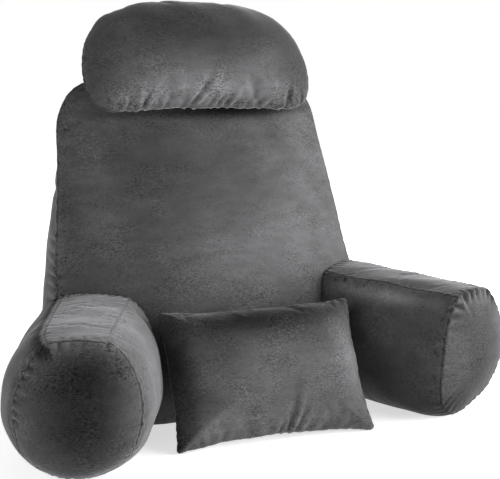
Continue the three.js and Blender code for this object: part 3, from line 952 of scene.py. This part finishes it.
NECK_FOLDS = [
    (-0.152, 0.50, 0.028, -0.35, 0.0070, 0.0030),
    (-0.139, 0.50, 0.022, -0.25, 0.0058, 0.0028),
    (-0.124, 0.50, 0.028, -0.25, 0.0072, 0.0032),
    (-0.108, 0.50, 0.018, -0.20, 0.0030, 0.0028),
    (-0.082, 0.50, 0.030, -0.15, 0.0056, 0.0030),
    (-0.070, 0.50, 0.022, 0.00, 0.0040, 0.0030),
    (-0.040, 0.50, 0.052, -0.50, 0.0064, 0.0034),
    (-0.016, 0.50, 0.020, -0.20, 0.0030, 0.0030),
    (-0.002, 0.50, 0.030, -0.20, 0.0048, 0.0030),
    (0.010, 0.50, 0.032, -0.35, 0.0060, 0.0030),
    (0.024, 0.50, 0.034, -0.35, 0.0060, 0.0034),
    (0.044, 0.50, 0.020, -0.20, 0.0030, 0.0030),
    (0.064, 0.50, 0.020, -0.40, 0.0040, 0.0034),
    (0.082, 0.50, 0.022, -0.50, 0.0044, 0.0034),
    (0.104, 0.50, 0.018, -0.30, 0.0038, 0.0030),
    (0.141, 0.50, 0.030, -0.25, 0.0056, 0.0030),
    (0.173, 0.50, 0.018, -0.50, 0.0040, 0.0030),
]
LUMBAR_FOLDS = [
    (-0.006, 0.0, 0.040, -0.25, 0.0050, 0.0032),
    (0.008, 0.0, 0.056, -0.15, 0.0064, 0.0034),
    (0.022, 0.0, 0.044, -0.20, 0.0046, 0.0032),
    (0.042, 0.0, 0.024, -0.20, 0.0026, 0.0044),
    (-0.112, 0.0, 0.026, 0.15, 0.0030, 0.0036),
    (-0.096, 0.0, 0.026, -0.10, 0.0030, 0.0036),
    (-0.046, 0.0, 0.030, 0.30, 0.0018, 0.0050),
    (0.082, 0.0, 0.026, -0.20, 0.0020, 0.0050),
    (-0.160, 0.19, 0.030, 0.60, 0.0030, 0.0040),
    (0.150, 0.19, 0.026, 0.00, 0.0028, 0.0036),
]

# Painted light and shade on the covers: the middle and the reach of each soft spot, doublings
BACKREST_PAINTED_LIGHT = [
    ((-0.110, 0.06, 0.43), (0.10, 0.20, 0.10), -0.50),
    ((0.010, 0.06, 0.38), (0.10, 0.20, 0.07), -0.32),
    ((-0.190, 0.08, 0.36), (0.035, 0.10, 0.14), 0.30),
    ((0.060, 0.00, 0.27), (0.13, 0.20, 0.10), 0.62),
    ((-0.245, 0.08, 0.36), (0.022, 0.06, 0.14), -0.37),
    ((0.200, 0.05, 0.36), (0.08, 0.15, 0.16), 0.20),
    # painted shadow that the neck cushion casts on the backrest below its lower edge
    ((0.090, 0.11, 0.498), (0.12, 0.06, 0.011), -3.00),
    ((0.000, 0.11, 0.497), (0.19, 0.06, 0.007), -0.80),
    ((-0.270, 0.11, 0.280), (0.030, 0.06, 0.060), 0.50),
]
BACKREST_SMOOTH = [((0.040, 0.00, 0.38), (0.16, 0.30, 0.13), -0.40)]
ARM_PAINTED_LIGHT = {
    "arm_left": [
        ((0.215, -0.22, 0.085), (0.09, 0.08, 0.055), -0.85),
        ((0.280, -0.26, 0.026), (0.10, 0.08, 0.035), -1.30),
        ((0.295, -0.28, 0.165), (0.022, 0.03, 0.05), -0.20),
        ((0.345, -0.30, 0.185), (0.055, 0.030, 0.03), -1.00),
        ((0.376, -0.30, 0.085), (0.058, 0.06, 0.10), -1.60),
        ((0.330, -0.15, 0.225), (0.16, 0.16, 0.016), -0.10),
        ((0.240, -0.15, 0.200), (0.10, 0.12, 0.012), 1.60),
    ],
    "arm_right": [
        # painted shade in the middle of the round cap
        ((-0.338, -0.31, 0.108), (0.060, 0.07, 0.080), -2.10),
        ((-0.325, -0.29, 0.174), (0.05, 0.05, 0.03), -1.40),
        ((-0.300, -0.12, 0.215), (0.15, 0.15, 0.035), 1.85),
        ((-0.220, -0.17, 0.120), (0.045, 0.12, 0.090), 1.00),
    ],
}
NECK_PAINTED_LIGHT = [
    ((0.06, 0.05, 0.640), (0.15, 0.06, 0.045), -0.86),
    ((-0.08, 0.05, 0.650), (0.09, 0.06, 0.040), -0.56),
    ((0.00, 0.03, 0.540), (0.15, 0.05, 0.044), 1.10),
    ((0.19, 0.08, 0.57), (0.04, 0.08, 0.06), -0.95),
    ((-0.135, 0.01, 0.522), (0.045, 0.05, 0.016), 0.45),
    ((-0.19, 0.08, 0.56), (0.04, 0.08, 0.06), -0.45),
]
LUMBAR_PAINTED_LIGHT = [
    # painted shade along the top edge
    ((0.000, -0.150, 0.184), (0.13, 0.05, 0.018), -2.10),
    ((-0.146, -0.16, 0.115), (0.018, 0.08, 0.085), -0.95),
    ((-0.100, -0.22, 0.045), (0.07, 0.06, 0.035), 0.65),
    ((0.142, -0.19, 0.120), (0.040, 0.06, 0.08), 1.45),
    # painted shade over the left edge, which the lamps light
    ((-0.170, -0.16, 0.110), (0.012, 0.12, 0.16), -3.00),
    ((-0.050, -0.21, 0.105), (0.12, 0.06, 0.05), 0.82),
    ((0.000, -0.24, 0.040), (0.12, 0.06, 0.030), 0.15),
]


def make_backrest():
    cover = backrest_cover()

    def held(c):
        return c.held(c.side_ids[[0, -1]], c.points[:, 2] < 0.004)

    cover = filled(cover, held, growth=0.006, most=0.006)
    front, back = (cover.seam(cover.side_ids[k]) for k in (0, -1))
    on_side = cover.held(cover.side_ids)
    relief = front.channel(0.0009) + back.channel(0.0018)
    relief += front.gathers(3, 0.012, 0.0012, 0.012, lambda p: 0.4 + 0.6 * (p[0] > 0))
    relief += back.gathers(4, 0.012, 0.0025, 0.014)
    crinkled = np.exp(-(((cover.points - MIDDLE - CRINKLE_MIDDLE) / CRINKLE_REACH) ** 2).sum(1))
    relief += CRINKLE_DEPTH * crinkled * waves(cover.points, CRINKLE_LENGTH, 6)
    relief += front.folds(BACKREST_SIDE_FOLDS) * on_side + front.folds(BACKREST_FACE_FOLDS)
    # painted light and shade on the backrest, lifted a little overall
    painted_light = 0.1 + soft_spots(cover.points, BACKREST_PAINTED_LIGHT)
    grain = 0.60 + soft_spots(cover.points, BACKREST_SMOOTH)
    return finished("backrest", cover, relief, [(front, 0.7), (back, 1.0)], painted_light, grain)


def make_arm(name, backrest, seed):
    shape = ARMS[name]
    cover = arm_cover(shape)

    def held(c):
        low = c.points[:, 2] < 0.003
        return c.held(c.side_ids[[0, -1]], c.back_ids, c.side_ids[:, [0, ARM_ACROSS // 2]], low)

    cover = filled(cover, held, shape["growth"], most=0.006)
    cap, join = (cover.seam(cover.side_ids[k]) for k in (0, -1))
    strip = [cover.seam(cover.side_ids[:, k], False) for k in (0, ARM_ACROSS)]
    on_cap = cover.held(cover.front_ids)
    relief = cap.channel(0.0014) + join.channel(0.0016)
    relief += sum(seam.channel(0.0009) for seam in strip)
    relief += cap.gathers(seed, 0.012, 0.0018, 0.012)
    relief += join.gathers(seed + 1, 0.012, 0.0022, 0.014)
    relief += strip[0].gathers(seed + 2, 0.014, 0.0009, 0.012)
    relief += strip[1].gathers(seed + 3, 0.014, 0.0009, 0.012)
    relief += cap.folds(ARM_FOLDS[name]) * on_cap
    outer = strip[0] if shape["side"] < 0 else strip[1]
    below = eased(shape["height"] - cover.points[:, 2], 0.001, 0.006)
    outside = shape["side"] * (cover.points[:, 0] - MIDDLE[0] - outer.nearest_x()) > 0
    # painted light and shade on the arm
    painted_light = soft_spots(cover.points, ARM_PAINTED_LIGHT[name])
    # painted shade on the outer shoulder just below the strip
    painted_light = painted_light - SHOULDER_SHADE * near(outer, SHOULDER_SHADE_WIDTH) * below * outside
    seams = [(cap, 0.8), (join, 1.0), (strip[0], 0.45), (strip[1], 0.45)]
    grain = shape["grain"] * (1 + 0.2 * on_cap)
    return finished(name, cover, relief, seams, painted_light, grain, [backrest])


def rim_held(c):
    """The one seam of a cushion sewn edge to edge."""
    return c.held(c.side_ids[0])


def make_neck(backrest):
    cover = neck_cover()

    def slack(c):
        return 0.25 + 0.75 * (1 - eased(c.points[:, 2], 0.53, 0.58))

    cover = filled(cover, rim_held, growth=0.02, most=0.007, slack=slack)
    seam = cover.seam(cover.side_ids[0])
    relief = seam.channel(0.0014)
    relief += seam.gathers(60, 0.014, 0.0020, 0.012, lambda p: 0.08 + 0.5 * (abs(p[0]) > 0.18))
    relief += seam.folds(NECK_FOLDS, CUSHION_FOLDS_OFF_SEAM)
    # painted light and shade on the neck cushion
    painted_light = soft_spots(cover.points, NECK_PAINTED_LIGHT)
    grain = mix(0.75, 0.40, eased(cover.points[:, 2], 0.54, 0.62))
    return finished("neck_cushion", cover, relief, [(seam, 0.8)], painted_light, grain, [backrest])


def make_lumbar(backrest):
    cover = lumbar_cover()
    cover = filled(cover, rim_held, growth=0.010, most=0.006)
    seam = cover.seam(cover.side_ids[0])
    relief = seam.channel(0.0014)
    relief += seam.gathers(80, 0.015, 0.0014, 0.014, lambda p: 0.25 + 0.25 * (abs(p[0]) > 0.12))
    relief += seam.folds(LUMBAR_FOLDS, CUSHION_FOLDS_OFF_SEAM)
    # painted light and shade on the lumbar cushion
    painted_light = soft_spots(cover.points, LUMBAR_PAINTED_LIGHT)
    return finished("lumbar_cushion", cover, relief, [(seam, 0.7)], painted_light, 0.62, [backrest])


backrest = make_backrest()
make_arm("arm_left", backrest, 20)
make_arm("arm_right", backrest, 40)
make_neck(backrest)
make_lumbar(backrest)


# ---------------------------------------------------------------- floor, light and camera

WHITE = (1, 1, 1, 1)
BLACK = (0, 0, 0, 1)
# distances at which the floor's glow starts and stops rising, and its strength there
FLOOR_GLOW = {1: 0.40, 2: 0.95, 3: 0.62, 4: 1.0}
LIGHTS_AIM = (0, 0, 0.3)
# name, place, width and height, watts
LIGHTS = [
    ("key", (2.2, -1.8, 1.0), 2.0, 112),
    ("low_key", (2.4, -1.7, 0.45), 1.0, 42),
    ("right", (2.6, 0.0, 1.0), 2.0, 66),
    ("left", (-2.6, -0.2, 1.0), 2.0, 48),
    ("top", (0.0, 0.0, 2.6), 2.2, 10),
]
WORLD_STRENGTH = 0.04
CAMERA_AIM = (0.0787, 0.0554, 0.2697)
CAMERA_DISTANCE = 1.9
CAMERA_AROUND = -24.87
CAMERA_UP = 10.91
SENSOR_WIDTH = 36
FOCAL_WIDTHS = 1062 / 500  # focal length in sensor widths


def glowing(name, colour, roughness):
    """A dull finish that gives off its own light."""
    finish = Finish(name)
    finish.set({"Base Color": colour, "Roughness": roughness, "Specular IOR Level": 0.1,
                "Emission Color": WHITE, "Emission Strength": 1.0})
    return finish


def pale_floor():
    """A square of pale floor that glows softly, and fully where it runs out of the light."""
    corners = np.array([(-6, -6, 0), (6, -6, 0), (6, 6, 0), (-6, 6, 0)], float)
    floor = new_object("floor", corners, np.array([[0, 1, 2, 3]]))
    finish = glowing("pale_floor", (0.9, 0.9, 0.9, 1), 0.9)
    place = finish.node("ShaderNodeTexCoord", {}, {}, "Object")
    reach = finish.node("ShaderNodeVectorMath", {"operation": "LENGTH"}, {0: place}, "Value")
    far = finish.node("ShaderNodeMapRange", {"interpolation_type": "SMOOTHSTEP"},
                      {0: reach, **FLOOR_GLOW})
    glow = finish.node("ShaderNodeMix", {"data_type": "RGBA"}, {0: far, 6: BLACK, 7: WHITE}, 2)
    finish.link(glow, "Emission Color")
    floor.data.materials.append(finish.material)


def pale_surround(radius=7.0, height=5.0, count=96):
    """An open ring of glowing backdrop behind everything, seen by the camera alone: a circle
    carried straight up from below the floor."""
    turn = np.linspace(0, 2 * np.pi, count, endpoint=False)
    ring = np.stack([radius * np.cos(turn), radius * np.sin(turn)], 1)
    points = np.vstack([np.c_[ring, np.full(count, -height)], np.c_[ring, np.full(count, height)]])
    here = np.arange(count)
    after = np.roll(here, -1)
    faces = np.stack([after, here, here + count, after + count], 1)
    surround = new_object("surround", points, faces)
    surround.data.materials.append(glowing("pale_surround", BLACK, 1.0).material)
    surround.visible_diffuse = surround.visible_glossy = False
    surround.visible_shadow = False


def put(name, data, place, way):
    """A light or camera put at a place and turned to look a way."""
    obj = bpy.data.objects.new(name, data)
    obj.location = place
    obj.rotation_euler = way.to_track_quat("-Z", "Y").to_euler()
    bpy.context.scene.collection.objects.link(obj)
    return obj


def soft_light(name, place, size, power):
    light = bpy.data.lights.new(name, "AREA")
    light.shape = "RECTANGLE"
    light.size = light.size_y = size
    light.energy = power
    put(name, light, place, Vector(LIGHTS_AIM) - Vector(place))


def add_camera():
    camera = bpy.data.cameras.new("camera")
    camera.lens = SENSOR_WIDTH * FOCAL_WIDTHS
    camera.sensor_width = SENSOR_WIDTH
    camera.sensor_fit = "HORIZONTAL"
    around, up = radians(CAMERA_AROUND), radians(CAMERA_UP)
    way = Vector((np.cos(up) * np.sin(around), -np.cos(up) * np.cos(around), np.sin(up)))
    place = Vector(CAMERA_AIM) + CAMERA_DISTANCE * way
    bpy.context.scene.camera = put("camera", camera, place, -way)


pale_floor()
pale_surround()
world = bpy.data.worlds.new("studio")
world.use_nodes = True
world.node_tree.nodes["Background"].inputs["Color"].default_value = WHITE
world.node_tree.nodes["Background"].inputs["Strength"].default_value = WORLD_STRENGTH
bpy.context.scene.world = world
for light_values in LIGHTS:
    soft_light(*light_values)
add_camera()
bpy.context.scene.view_settings.view_transform = "Standard"
